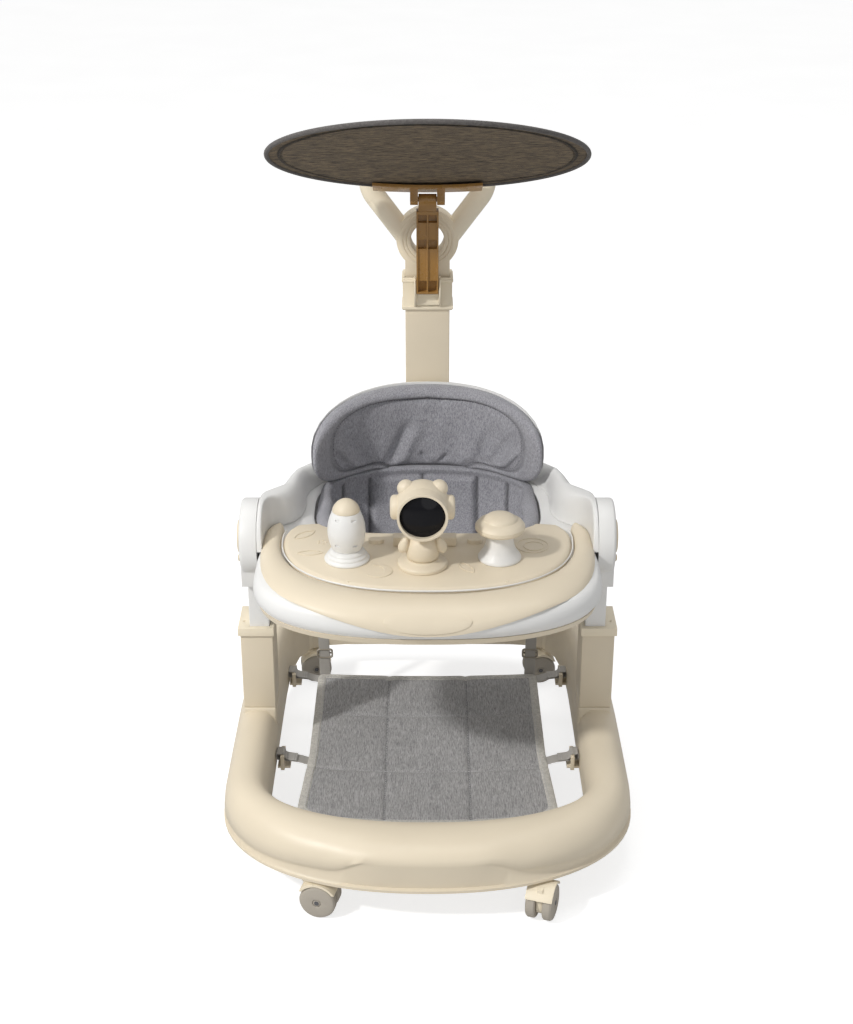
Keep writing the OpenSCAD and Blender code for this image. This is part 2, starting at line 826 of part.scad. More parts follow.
module robot_body() {
  color(cream)
    translate(robot_at) {
      difference() {
        rotate_extrude()
          polygon([[0, 12.1], [20, 12.1], [23, 16], [24.6, 24], [24.2, 33], [20.5, 42], [14, 48], [0, 48]]);
        translate([0, 0, 38]) cylinder(r = 6.05, h = 20);
      }
      for (side = [-1, 1])
        translate([side * 28, -8, 29]) rotate([10, side * -16, 0])
          rotate_extrude()
            polygon([[0, -5], [4, -4.2], [6.8, -1], [7.8, 4], [7, 10], [4.8, 16], [2.4, 19.4], [0, 20]]);
    }
}

head_z = 90;

module robot_head() {
  color(cream)
    translate(robot_at) {
      difference() {
        union() {
          translate([0, 0, head_z]) {
            sphere(r = 39);
            for (side = [-1, 1])
              rotate([0, side * 90, 0]) rotate_extrude()
                polygon([[0, 20], [17.5, 20], [17.5, 40.5], [16.4, 43], [13.5, 44.8], [9, 45.5], [0, 45.5]]);
            y_bar(35.5, -37.5, -14);
            for (side = [-1, 1]) translate([side * 23, 4, 27]) sphere(r = 12.5);
          }
        }
        translate([0, 0, head_z]) y_bar(32, -60, -22);
        translate([0, 0, 30]) cylinder(r = 60, h = 18.3);
      }
      translate([0, 0, 38.5]) cylinder(r = 6, h = 20);
    }
}

module robot_screen() {
  color(black)
    translate(robot_at + [0, 0, head_z])
      intersection() {
        y_bar(31.7, -60, -22.2);
        translate([0, 40, 0]) sphere(r = 78);
      }
}

module mushroom_stem() {
  color(white)
    translate(mushroom_at)
      difference() {
        rotate_extrude()
          polygon([[0, 0.1], [31, 0.1], [31, 3], [29.4, 6], [24, 13], [20.5, 22], [19.4, 32], [20, 42], [0, 42]]);
        translate([0, 0, 30]) cylinder(r = 6.05, h = 20);
      }
}

module mushroom_cap() {
  color(cream)
    translate(mushroom_at) {
      rotate_extrude()
        polygon([[0, 42.3], [27, 42.3], [33, 43.8], [35.6, 47.5], [35.4, 52], [32, 56.6], [26.5, 59.6], [24, 60.4],
          [23, 62.6], [18, 66.4], [10, 69], [0, 69.8]]);
      translate([0, 0, 30.5]) cylinder(r = 6, h = 14);
    }
}

// ---------- seat ----------

// Level ring of the seat bowl, drawn in by scale.
function bowl_ring(scale, z) = [for (i = [0:bowl_steps - 1])
  let (p = opening_point(360 * i / bowl_steps, -1)) [p[0] * scale, seat_y + (p[1] - seat_y) * scale, z]];

bowl_side = [[1, tray_top - 1], [1, tray_top - 34], [0.94, 350], [0.77, 316], [0.5, 298], [0.2, 290]];
cloth_t = 3.2;

module seat_sling() {
  last = len(bowl_side) - 1;
  color(grey_fabric)
    difference() {
      loft_bar(concat(
        [for (i = [last:-1:0]) bowl_ring(bowl_side[i][0] - 0.022, bowl_side[i][1] + (i > 0 ? cloth_t : 0))],
        [for (i = [0:last]) bowl_ring(bowl_side[i][0], bowl_side[i][1])]));
      for (side = [-1, 1])
        translate([side * 80, seat_y, 334]) y_bar(44, -150, -50);
    }
}

back_y = 90;
back_mid_z = 478;

// Outline of the backrest, as seen from the front, drawn in by inset.
function back_outline(inset) = [for (a = [0:5:355])
  let (up = sin(a) > 0, reach = oval_reach(a, 181 - inset, (up ? 78 : 96) - inset, up ? 3 : 2.6))
  [reach * cos(a), back_mid_z + reach * sin(a)]];

module back_wall(r_in, r_out, inset, z0) {
  intersection() {
    translate([0, back_y, z0])
      difference() {
        cylinder(r = r_out, h = 200);
        translate([0, 0, -1]) cylinder(r = r_in, h = 202);
      }
    translate([0, 400, 0]) rotate([90, 0, 0]) linear_extrude(400 - back_y - 20) polygon(back_outline(inset));
  }
}

module backrest_shell() {
  color(white) back_wall(195.6, 199, 0, tray_top + 0.3);
}

module backrest_pad() {
  color(grey_fabric) back_wall(174, 195.2, 3, tray_top + 0.5);
}

// ---------- casters ----------

module caster_fork() {
  color(light_cream) {
    translate([0, 0, 50]) cylinder(r = stem_r, h = 42);
    difference() {
      union() {
        translate([0, 0, 52]) cylinder(r = 11, h = 7);
        translate([-4, -caster_trail - 18, wheel_r]) cube([8, caster_trail + 26, 29]);
        translate([0, -caster_trail, wheel_r]) x_bar(18, 8);
        intersection() {
          translate([0, -caster_trail, wheel_r]) x_bar(wheel_r + 4, 38);
          translate([-19, -caster_trail - 40, wheel_r + 16]) cube([38, 80, 40]);
        }
      }
      for (side = [-1, 1])
        translate([side * 12.2, -caster_trail, wheel_r]) x_bar(wheel_r + 1, 16);
      translate([0, -caster_trail, wheel_r]) x_bar(3.05, 60);
    }
  }
}

module caster_wheels() {
  color(cream)
    translate([0, -caster_trail, wheel_r]) {
      for (side = [-1, 1])
        translate([side * 5, 0, 0]) rotate([0, side * 90, 0])
          rotate_extrude()
            polygon([[3.1, 0], [wheel_r - 2, 0], [wheel_r, 2], [wheel_r, 10.5], [wheel_r - 2, 13.5],
              [wheel_r - 6, 14.5], [6, 14.5], [6, 12.5], [3.1, 12.5]]);
      x_bar(3, 34);
      for (side = [-1, 1])
        translate([side * 18.4, 0, 0]) x_bar(5, 1.4);
    }
}

// Turn of each caster about its stem at rest.
front_left_turn = 76;
front_right_turn = -18;
rear_left_turn = 97;
rear_right_turn = -82;

module front_left_fork() {
  caster_place(true, -1) rotate(front_left_turn) caster_fork();
}

module front_left_wheels() {
  caster_place(true, -1) rotate(front_left_turn) caster_wheels();
}

module front_right_fork() {
  caster_place(true, 1) rotate(front_right_turn) caster_fork();
}

module front_right_wheels() {
  caster_place(true, 1) rotate(front_right_turn) caster_wheels();
}

module rear_left_fork() {
  caster_place(false, -1) rotate(rear_left_turn) caster_fork();
}

module rear_left_wheels() {
  caster_place(false, -1) rotate(rear_left_turn) caster_wheels();
}

module rear_right_fork() {
  caster_place(false, 1) rotate(rear_right_turn) caster_fork();
}

module rear_right_wheels() {
  caster_place(false, 1) rotate(rear_right_turn) caster_wheels();
}

// ---------- drawing ----------

base_shell();
caster_sockets();
column_sockets();
left_column();
right_column();
column_caps();
strap_hooks();
foot_mat();
side_straps();
rear_straps();
post_socket();
push_post();
post_collar();
handle_yoke();
ring_insert();
handle_grip();
sunshade_clip();
sunshade_arm();
sunshade_pin();
sunshade_clamp();
sunshade_disc();
sunshade_rim();
left_leg();
right_leg();
left_hub_cover();
right_hub_cover();
hub_shoulders();
hub_caps();
left_lock_knob();
right_lock_knob();
tray_shell();
tray_edge_band();
tray_trim();
front_plate();
play_panel();
panel_relief();
panel_screws();
toy_bar();
left_button();
right_button();
rocket_base();
rocket_body();
rocket_nose();
robot_base();
robot_body();
robot_head();
robot_screen();
mushroom_stem();
mushroom_cap();
seat_sling();
backrest_shell();
backrest_pad();
front_left_fork();
front_left_wheels();
front_right_fork();
front_right_wheels();
rear_left_fork();
rear_left_wheels();
rear_right_fork();
rear_right_wheels();
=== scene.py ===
"""Baby walker with push handle and sunshade: the final looks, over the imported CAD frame."""

import json
import math

import bmesh
import bpy
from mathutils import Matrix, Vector, noise


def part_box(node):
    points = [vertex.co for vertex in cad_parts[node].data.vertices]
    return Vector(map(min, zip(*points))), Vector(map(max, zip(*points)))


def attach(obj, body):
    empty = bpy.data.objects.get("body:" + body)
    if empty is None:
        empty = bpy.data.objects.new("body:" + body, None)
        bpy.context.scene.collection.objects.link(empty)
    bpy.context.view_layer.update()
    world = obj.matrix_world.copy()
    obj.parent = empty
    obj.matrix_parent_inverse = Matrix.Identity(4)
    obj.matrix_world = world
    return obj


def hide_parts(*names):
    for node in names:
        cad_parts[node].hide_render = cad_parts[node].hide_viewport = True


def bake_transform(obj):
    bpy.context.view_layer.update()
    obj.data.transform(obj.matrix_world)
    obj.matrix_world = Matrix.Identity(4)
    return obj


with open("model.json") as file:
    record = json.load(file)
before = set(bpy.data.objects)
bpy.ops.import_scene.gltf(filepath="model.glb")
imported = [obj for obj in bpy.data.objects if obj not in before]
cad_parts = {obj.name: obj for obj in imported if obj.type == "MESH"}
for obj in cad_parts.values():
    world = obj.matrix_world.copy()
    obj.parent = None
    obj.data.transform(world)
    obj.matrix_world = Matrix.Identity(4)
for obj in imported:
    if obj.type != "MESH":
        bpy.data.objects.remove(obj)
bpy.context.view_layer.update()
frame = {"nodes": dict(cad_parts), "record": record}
nodes = frame["nodes"]

# ---------- colours ----------

CREAM = (0.76, 0.67, 0.52)
# Painted light: the base's cream plastic made lighter for the handle ring and yoke, collar, column caps and
# forks.
CREAM_PAINTED_LIGHT = (0.86, 0.77, 0.60)
WHEEL = (0.45, 0.41, 0.35)
WHITE = (0.81, 0.81, 0.80)
CARAMEL = (0.35, 0.185, 0.05)
GREY_LIGHT = (0.50, 0.50, 0.54)
GREY_DARK = (0.225, 0.225, 0.255)
# Painted shade: the sunshade cloth's fibre tones, made dark brown like the disc's shaded underside.
SUNSHADE_LIGHT_PAINTED_SHADE = (0.27, 0.20, 0.12)
SUNSHADE_DARK_PAINTED_SHADE = (0.010, 0.007, 0.004)
MAT_LIGHT = (0.54, 0.535, 0.54)
MAT_DARK = (0.225, 0.222, 0.225)
BINDING = (0.70, 0.68, 0.63)
PIPING = (0.14, 0.13, 0.125)
STRAP = (0.50, 0.48, 0.45)


# ---------- node helpers ----------


class Tree:
    """Short names for building a material's nodes."""

    def __init__(self, name):
        self.material = bpy.data.materials.new(name)
        self.material.use_nodes = True
        self.tree = self.material.node_tree
        self.shader = self.tree.nodes["Principled BSDF"]
        self.place = self.add("ShaderNodeTexCoord").outputs["Object"]

    def add(self, kind, **settings):
        node = self.tree.nodes.new(kind)
        for key, value in settings.items():
            setattr(node, key, value)
        return node

    def link(self, output, node, socket):
        self.tree.links.new(output, node.inputs[socket])

    def stretch(self, scale):
        node = self.add("ShaderNodeMapping")
        node.inputs["Scale"].default_value = scale
        self.link(self.place, node, "Vector")
        return node.outputs["Vector"]

    def noise(self, scale, detail=3.0, vector=None, rough=0.55):
        node = self.add("ShaderNodeTexNoise")
        node.inputs["Scale"].default_value = scale
        node.inputs["Detail"].default_value = detail
        node.inputs["Roughness"].default_value = rough
        self.link(vector or self.place, node, "Vector")
        return node.outputs["Fac"]

    def wave(self, scale, axis):
        node = self.add("ShaderNodeTexWave", bands_direction=axis)
        node.inputs["Scale"].default_value = scale
        self.link(self.place, node, "Vector")
        return node.outputs["Fac"]

    def spread(self, value, low, high, to_low, to_high):
        node = self.add("ShaderNodeMapRange")
        for socket, number in zip(("From Min", "From Max", "To Min", "To Max"), (low, high, to_low, to_high)):
            node.inputs[socket].default_value = number
        self.link(value, node, "Value")
        return node.outputs["Result"]

    def blend(self, factor, a, b):
        node = self.add("ShaderNodeMix", data_type="RGBA")
        self.link(factor, node, 0)
        for socket, colour in ((6, a), (7, b)):
            if isinstance(colour, tuple):
                node.inputs[socket].default_value = (*colour, 1)
            else:
                self.link(colour, node, socket)
        return node.outputs[2]

    def math(self, operation, a, b):
        node = self.add("ShaderNodeMath", operation=operation)
        for socket, value in ((0, a), (1, b)):
            if isinstance(value, (int, float)):
                node.inputs[socket].default_value = value
            else:
                self.link(value, node, socket)
        return node.outputs[0]

    def bump(self, height, distance, strength=1.0):
        node = self.add("ShaderNodeBump")
        node.inputs["Distance"].default_value = distance
        node.inputs["Strength"].default_value = strength
        self.link(height, node, "Height")
        self.link(node.outputs["Normal"], self.shader, "Normal")

    def edges(self, radius):
        """1 along sharp edges, 0 on flat faces."""
        bevel = self.add("ShaderNodeBevel", samples=4)
        bevel.inputs["Radius"].default_value = radius
        face = self.add("ShaderNodeNewGeometry")
        dot = self.add("ShaderNodeVectorMath", operation="DOT_PRODUCT")
        self.link(bevel.outputs["Normal"], dot, 0)
        self.link(face.outputs["Normal"], dot, 1)
        return self.spread(dot.outputs["Value"], 0.80, 0.995, 1.0, 0.0)


def shade(colour, factor):
    return tuple(c * factor for c in colour)


def plastic(name, colour, rough=0.42, grain=0.00006, wear=0.10):
    """Moulded plastic: slight mottling, satin roughness, fine grain and lighter rubbed edges."""
    t = Tree(name)
    mottle = t.spread(t.noise(9, 4), 0.35, 0.65, 0, 1)
    body = t.blend(mottle, shade(colour, 0.965), colour)
    rubbed = t.math("MULTIPLY", t.edges(0.0012), t.spread(t.noise(60, 3), 0.3, 0.7, 0.3, 1))
    light = tuple(min(1, c * (1 + wear) + wear * 0.2) for c in colour)
    t.link(t.blend(rubbed, body, light), t.shader, "Base Color")
    t.link(t.spread(t.noise(34, 4), 0.3, 0.7, rough - 0.06, rough + 0.08), t.shader, "Roughness")
    t.bump(t.noise(1400, 2), grain)
    return t.material


WHEEL_PLASTIC = plastic("wheel_plastic", WHEEL, rough=0.5)
DARK_STEEL = plastic("dark_steel", (0.10, 0.10, 0.11), rough=0.35, wear=0.6)
MATERIALS = {
    "cream_plastic": plastic("cream_plastic", CREAM),
    "light_plastic": plastic("light_plastic", CREAM_PAINTED_LIGHT),
    "white_plastic": plastic("white_plastic", WHITE, rough=0.36, wear=0.04),
    "caramel_plastic": plastic("caramel_plastic", CARAMEL, rough=0.28, wear=0.25),
    "grey_fabric": plastic("grey_stand_in", GREY_LIGHT),
    "shade_fabric": plastic("shade_stand_in", SUNSHADE_LIGHT_PAINTED_SHADE),
    "screen": plastic("screen", (0.006, 0.006, 0.008), rough=0.08, grain=0.00001, wear=0.02),
    "steel": plastic("steel", (0.55, 0.55, 0.57), rough=0.3, wear=0.3),
}

MATERIALS["screen"].node_tree.nodes["Principled BSDF"].inputs["Specular IOR Level"].default_value = 0.18

# ---------- rigid parts ----------

# Edge rounding by node, in metres. The lofted shells have their roundings already.
BEVEL_M = {
    "base_shell": 0, "tray_shell": 0, "tray_trim": 0, "tray_edge_band": 0, "hub_shoulders": 0,
    "left_column": 0.004, "right_column": 0.004, "column_sockets": 0.004, "column_caps": 0.002,
    "left_leg": 0.003, "right_leg": 0.003, "left_hub_cover": 0.0015, "right_hub_cover": 0.0015,
    "push_post": 0.005, "post_socket": 0.004, "post_collar": 0.0012, "handle_yoke": 0.0006,
    "play_panel": 0.0006, "front_plate": 0.0004, "panel_relief": 0.0003, "panel_screws": 0.0003,
    "toy_bar": 0.0015, "robot_head": 0.0012,
}
OTHER_BEVEL_M = 0.001
# Largest angle between faces that still shade as one surface, in degrees.
SMOOTH_DEG = {"base_shell": 62, "tray_shell": 45, "tray_trim": 50, "hub_shoulders": 50}
OTHER_SMOOTH_DEG = 32


def shade_smooth_group():
    """Geometry nodes that shade a mesh smooth except across sharp edges."""
    group = bpy.data.node_groups.new("smooth_by_angle", "GeometryNodeTree")
    group.interface.new_socket("Geometry", in_out="INPUT", socket_type="NodeSocketGeometry")
    angle = group.interface.new_socket("Angle", in_out="INPUT", socket_type="NodeSocketFloat")
    angle.default_value = math.radians(35)
    group.interface.new_socket("Geometry", in_out="OUTPUT", socket_type="NodeSocketGeometry")
    start = group.nodes.new("NodeGroupInput")
    end = group.nodes.new("NodeGroupOutput")
    edge = group.nodes.new("GeometryNodeInputMeshEdgeAngle")
    compare = group.nodes.new("FunctionNodeCompare")
    compare.operation = "LESS_EQUAL"
    faces = group.nodes.new("GeometryNodeSetShadeSmooth")
    sharp = group.nodes.new("GeometryNodeSetShadeSmooth")
    sharp.domain = "EDGE"
    link = group.links.new
    link(start.outputs["Geometry"], faces.inputs["Geometry"])
    link(faces.outputs["Geometry"], sharp.inputs["Geometry"])
    link(edge.outputs["Unsigned Angle"], compare.inputs[0])
    link(start.outputs["Angle"], compare.inputs[1])
    link(compare.outputs["Result"], sharp.inputs["Shade Smooth"])
    link(sharp.outputs["Geometry"], end.inputs["Geometry"])
    return group, angle.identifier


SMOOTH_GROUP, SMOOTH_ANGLE = shade_smooth_group()


def finish_rigid(name):
    """Weld, clean, bevel and smooth one CAD node, and give it its slot's material."""
    o = nodes[name]
    slot = next(s["material_slot"] for s in frame["record"]["subparts"] if s["node"] == name)
    o.data.materials.clear()
    o.data.materials.append(WHEEL_PLASTIC if name.endswith("_wheels") else MATERIALS[slot])
    weld = o.modifiers.new("weld", "WELD")
    weld.merge_threshold = 0.00002
    width = BEVEL_M.get(name, OTHER_BEVEL_M)
    if width:
        tidy = o.modifiers.new("tidy", "DECIMATE")
        tidy.decimate_type = "DISSOLVE"
        tidy.angle_limit = math.radians(0.6)
        bevel = o.modifiers.new("bevel", "BEVEL")
        bevel.width = width
        bevel.segments = 3
        bevel.limit_method = "ANGLE"
        bevel.angle_limit = math.radians(38)
    smooth = o.modifiers.new("smooth", "NODES")
    smooth.node_group = SMOOTH_GROUP
    smooth[SMOOTH_ANGLE] = math.radians(SMOOTH_DEG.get(name, OTHER_SMOOTH_DEG))


for node_name in nodes:
    finish_rigid(node_name)

# ---------- shapes in mesh code ----------

MM = 0.001


def ease(t):
    t = min(1.0, max(0.0, t))
    return t * t * (3 - 2 * t)


def mix(a, b, t):
    return a + (b - a) * t


def near(distance, width):
    """1 at no distance, falling to 0 past about two widths."""
    return math.exp(-((distance / width) ** 2))


def ripple(x, y, z, scale, seed=0.0):
    """Smooth seeded noise from -1 to 1."""
    return noise.noise(Vector((x * scale + seed, y * scale - seed, z * scale + 2 * seed)))


def steps_between(a, b, count):
    return [mix(a, b, i / (count - 1)) for i in range(count)]


def turns_of(count):
    return [2 * math.pi * i / count for i in range(count)]


def oval_reach(turn, half_x, half_y, power):
    """Distance from the middle of a superellipse to its edge, in direction turn."""
    inside = (abs(math.cos(turn)) / half_x) ** power + (abs(math.sin(turn)) / half_y) ** power
    return inside ** (-1 / power)


def smoothed(loop, times):
    """A closed line with each point drawn towards its neighbours."""
    for _ in range(times):
        loop = [(loop[i - 1] + 2 * p + loop[(i + 1) % len(loop)]) / 4 for i, p in enumerate(loop)]
    return loop


def outward(loop):
    """Level outward directions along a closed line that runs anticlockwise."""
    sides = []
    for i in range(len(loop)):
        along = loop[(i + 1) % len(loop)] - loop[i - 1]
        sides.append(Vector((along.y, -along.x, 0)).normalized())
    return sides


def add_mesh(name, points, faces, material, smooth=True):
    mesh = bpy.data.meshes.new(name)
    mesh.from_pydata(points, [], faces)
    shape = bmesh.new()
    shape.from_mesh(mesh)
    bmesh.ops.recalc_face_normals(shape, faces=shape.faces)
    shape.to_mesh(mesh)
    shape.free()
    mesh.polygons.foreach_set("use_smooth", [smooth] * len(mesh.polygons))
    o = bpy.data.objects.new(name, mesh)
    bpy.context.scene.collection.objects.link(o)
    o.data.materials.append(material)
    return o


def grid_faces(rows, cols, ring=False, wrap=False):
    """Quads over points stored row by row.

    ring joins each row's ends, and wrap joins the last row to the first.
    """
    quads = []
    for r in range(rows if wrap else rows - 1):
        here = r * cols
        above = (r + 1) % rows * cols
        for c in range(cols if ring else cols - 1):
            beside = (c + 1) % cols
            quads.append((here + c, here + beside, above + beside, above + c))
    return quads


def swept(path, sides, section, wrap=False):
    """Points and faces of a section carried along a path. sides gives its across direction at each point."""
    rows = len(path)
    cols = len(section)
    points = []
    for i, (p, side) in enumerate(zip(path, sides)):
        before = path[i - 1] if wrap or i else p
        after = path[(i + 1) % rows] if wrap or i < rows - 1 else p
        along = (after - before).normalized()
        across = (side - along * side.dot(along)).normalized()
        up = across.cross(along)
        points += [p + across * a + up * b for a, b in section]
    faces = grid_faces(rows, cols, ring=True, wrap=wrap)
    if not wrap:
        faces += [tuple(range(cols)), tuple(range((rows - 1) * cols, rows * cols))]
    return points, faces


def flat_section(width, thick, sides=14):
    """Outline of a flat strip with rounded edges."""
    return [(width / 2 * squared(math.cos(t), 0.45), thick / 2 * math.sin(t)) for t in turns_of(sides)]


def oval_section(half_w, half_h, sides):
    return [(half_w * math.cos(t), half_h * math.sin(t)) for t in turns_of(sides)]


def squared(value, power):
    """A sine or cosine with its curve made squarer by a power under 1."""
    return math.copysign(abs(value) ** power, value)


def joined(parts):
    """Several (points, faces) as one."""
    points, faces = [], []
    for more_points, more_faces in parts:
        start = len(points)
        points += more_points
        faces += [tuple(i + start for i in f) for f in more_faces]
    return points, faces


def curve_through(corners, steps=8):
    """A smooth line through a few points."""
    ends = [corners[0] * 2 - corners[1], *corners, corners[-1] * 2 - corners[-2]]
    line = []
    for p, q, r, s in zip(ends, ends[1:], ends[2:], ends[3:]):
        for i in range(steps):
            t = i / steps
            square = 2 * p - 5 * q + 4 * r - s
            cube = 3 * q - p - 3 * r + s
            line.append((2 * q + (r - p) * t + square * t * t + cube * t**3) / 2)
    return line + [corners[-1]]


STITCH_PITCH = 4.6 * MM
STITCH_LENGTH = 3.2 * MM


def stitches(name, lines, material, body, radius=0.42 * MM):
    """Raised thread marks along lines of closely spaced points."""
    parts = []
    for line in lines:
        walked = 0.0
        due = 0.0
        for a, b in zip(line, line[1:]):
            step = (b - a).length
            while step > 1e-7 and due <= walked + step:
                parts.append(one_stitch(a + (b - a) * ((due - walked) / step), (b - a).normalized(), radius))
                due += STITCH_PITCH
            walked += step
    o = add_mesh(name, *joined(parts), material)
    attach(o, body)
    return o


def one_stitch(at, along, radius):
    side = along.cross(Vector((0.31, 0.17, 0.93))).normalized()
    up = side.cross(along)
    ring = [side * radius, up * radius, -side * radius, -up * radius]
    half = along * STITCH_LENGTH / 2
    near_ring = [at - half * 0.6 + r for r in ring]
    far_ring = [at + half * 0.6 + r for r in ring]
    points = [at - half, *near_ring, *far_ring, at + half]
    faces = [(0, 1 + i, 1 + (i + 1) % 4) for i in range(4)]
    faces += [(1 + i, 1 + (i + 1) % 4, 5 + (i + 1) % 4, 5 + i) for i in range(4)]
    faces += [(9, 5 + i, 5 + (i + 1) % 4) for i in range(4)]
    return points, faces


def push(o, amount):
    """Moves each vertex along its own normal by amount(point)."""
    moves = [(v.normal.copy(), amount(v.co)) for v in o.data.vertices]
    for v, (normal, distance) in zip(o.data.vertices, moves):
        v.co += normal * distance


def thicken(o, thickness, offset=-1.0):
    solid = o.modifiers.new("thickness", "SOLIDIFY")
    solid.thickness = thickness
    solid.offset = offset


def paint_seam_shade(o, strength):
    """Stores how much painted shade each vertex gets in its seams and creases, from 0 to 1, for the cloth's
    colour.
    """
    values = [strength(v.co) for v in o.data.vertices]
    o.data.attributes.new("seam", "FLOAT", "POINT").data.foreach_set("value", values)


# ---------- fabric materials ----------


def cloth(name, light, dark, streak, weave=620.0, cross=520.0, rough=0.85, sheen=0.2):
    """Heather cloth: long light and dark fibres along one axis, a fine weave, fuzz and soft mottling, and
    painted shade in its seams.
    """
    t = Tree(name)
    fibre = t.noise(1.0, 4, t.stretch(streak), rough=0.7)
    fleck = t.noise(1.0, 2, t.stretch(tuple(s * 2.3 for s in streak)))
    cloud = t.noise(26, 3)
    tone = t.math("ADD", t.math("MULTIPLY", fibre, 0.62), t.math("MULTIPLY", fleck, 0.38))
    body = t.blend(t.spread(tone, 0.41, 0.59, 0, 1), dark, light)
    body = t.blend(t.spread(cloud, 0.35, 0.65, 0.0, 0.16), body, shade(dark, 0.9))
    # Painted shade: the seam attribute darkens seams, creases and the crease under the backrest pad.
    seam = t.add("ShaderNodeAttribute", attribute_name="seam").outputs["Fac"]
    body = t.blend(seam, body, shade(dark, 0.15))
    t.link(body, t.shader, "Base Color")
    t.link(t.spread(fleck, 0.3, 0.7, rough - 0.1, rough + 0.08), t.shader, "Roughness")
    over = t.math("MULTIPLY", t.wave(weave, "DIAGONAL"), t.wave(cross, "X"))
    height = t.math("ADD", t.math("MULTIPLY", over, 0.5), t.math("MULTIPLY", tone, 0.9))
    t.bump(height, 0.0005, 0.8)
    t.shader.inputs["Sheen Weight"].default_value = sheen
    t.shader.inputs["Sheen Roughness"].default_value = 0.5
    return t.material


def webbing(name, colour, axis):
    """Woven tape: close ribs across its length, with slightly darker gaps."""
    t = Tree(name)
    ribs = t.wave(260.0, axis)
    rub = t.noise(180, 4)
    body = t.blend(t.math("MULTIPLY", ribs, t.spread(rub, 0.3, 0.7, 0.7, 1)), shade(colour, 0.72), colour)
    t.link(body, t.shader, "Base Color")
    t.link(t.spread(rub, 0.3, 0.7, 0.7, 0.85), t.shader, "Roughness")
    t.bump(ribs, 0.0003, 0.7)
    t.shader.inputs["Sheen Weight"].default_value = 0.15
    return t.material


def thread(name, colour):
    """Sewing thread: twisted, slightly fuzzy."""
    t = Tree(name)
    twist = t.wave(900.0, "DIAGONAL")
    t.link(t.blend(twist, shade(colour, 0.75), colour), t.shader, "Base Color")
    t.link(t.spread(t.noise(300, 2), 0.3, 0.7, 0.6, 0.8), t.shader, "Roughness")
    t.bump(twist, 0.0001)
    return t.material


SEAT_CLOTH = cloth("seat_cloth", GREY_LIGHT, GREY_DARK, (700, 700, 190))
MAT_CLOTH = cloth("mat_cloth", MAT_LIGHT, MAT_DARK, (800, 70, 800))
# Painted shade: the sunshade cloth is coloured like its shaded underside.
SHADE_CLOTH = cloth("shade_cloth", SUNSHADE_LIGHT_PAINTED_SHADE, SUNSHADE_DARK_PAINTED_SHADE, (50, 430, 430), sheen=0.02)
PIPING_CLOTH = cloth("piping_cloth", PIPING, shade(PIPING, 0.6), (300, 300, 300), sheen=0.08)
BINDING_CLOTH = cloth("binding_cloth", BINDING, shade(BINDING, 0.7), (260, 260, 260))
STRAP_TAPE = webbing("strap_tape", STRAP, "X")
TALL_TAPE = webbing("tall_tape", STRAP, "Z")
LIGHT_THREAD = thread("light_thread", (0.72, 0.72, 0.74))
DARK_THREAD = thread("dark_thread", (0.10, 0.10, 0.12))
BUCKLE_PLASTIC = plastic("buckle_plastic", (0.30, 0.27, 0.22), rough=0.45)

# ---------- foot mat ----------

MAT_CUT = 26 * MM  # the cut across each front corner
MAT_TAPER = 170 * MM  # where the taper ends, from the front edge
MAT_BACK_HALF = 181 * MM  # half the width behind the taper
MAT_SEAMS_X = (-63.5 * MM, 63.5 * MM)
MAT_SEAMS_Y = (-82 * MM, 71 * MM)
MAT_THICK = 3.4 * MM
mat_low, mat_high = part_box("foot_mat")


def mat_half(y):
    """Half the mat's width at y: cut front corners, then a taper to the straight rear part."""
    ahead = y - mat_low.y
    if ahead < MAT_CUT:
        return mat_high.x - MAT_CUT + ahead
    return mix(mat_high.x, MAT_BACK_HALF, min(1, (ahead - MAT_CUT) / (MAT_TAPER - MAT_CUT)))


def mat_height(x, y):
    """Height of the mat's top: it hangs between its four straps and each quilted cell is puffed."""
    along = (y - mat_low.y) / (mat_high.y - mat_low.y)
    sag = mix(12, 5, along) * MM * (1 - min(1, abs(x) / mat_high.x) ** 2)
    seam = min([abs(x - s) for s in MAT_SEAMS_X] + [abs(y - s) for s in MAT_SEAMS_Y])
    edge = max(0, min(mat_half(y) - abs(x), y - mat_low.y, mat_high.y - y))
    puff = 3.0 * MM * (1 - math.exp(-min(seam, edge + 2 * MM) / (5 * MM)))
    pull = 0.9 * MM * ripple(x, y, 0, 26, 3.0) + 0.35 * MM * ripple(x, y, 0, 90, 7.0)
    return mat_high.z - sag - 2.2 * MM + puff + pull * min(1, edge / (20 * MM))


def mat_outline(inset):
    """The mat's edge as a closed line, drawn in by inset."""
    front = mat_low.y + inset
    back = mat_high.y - inset
    right = [Vector((mat_half(y) - inset, y, 0)) for y in steps_between(front, back, 150)]
    left = [Vector((-p.x, p.y, 0)) for p in reversed(right)]
    back_edge = [Vector((x, back, 0)) for x in steps_between(right[-1].x, left[0].x, 100)][1:-1]
    front_edge = [Vector((x, front, 0)) for x in steps_between(left[-1].x, right[0].x, 100)][1:-1]
    loop = smoothed(right + back_edge + left + front_edge, 3)
    return [Vector((p.x, p.y, mat_height(p.x, p.y))) for p in loop]


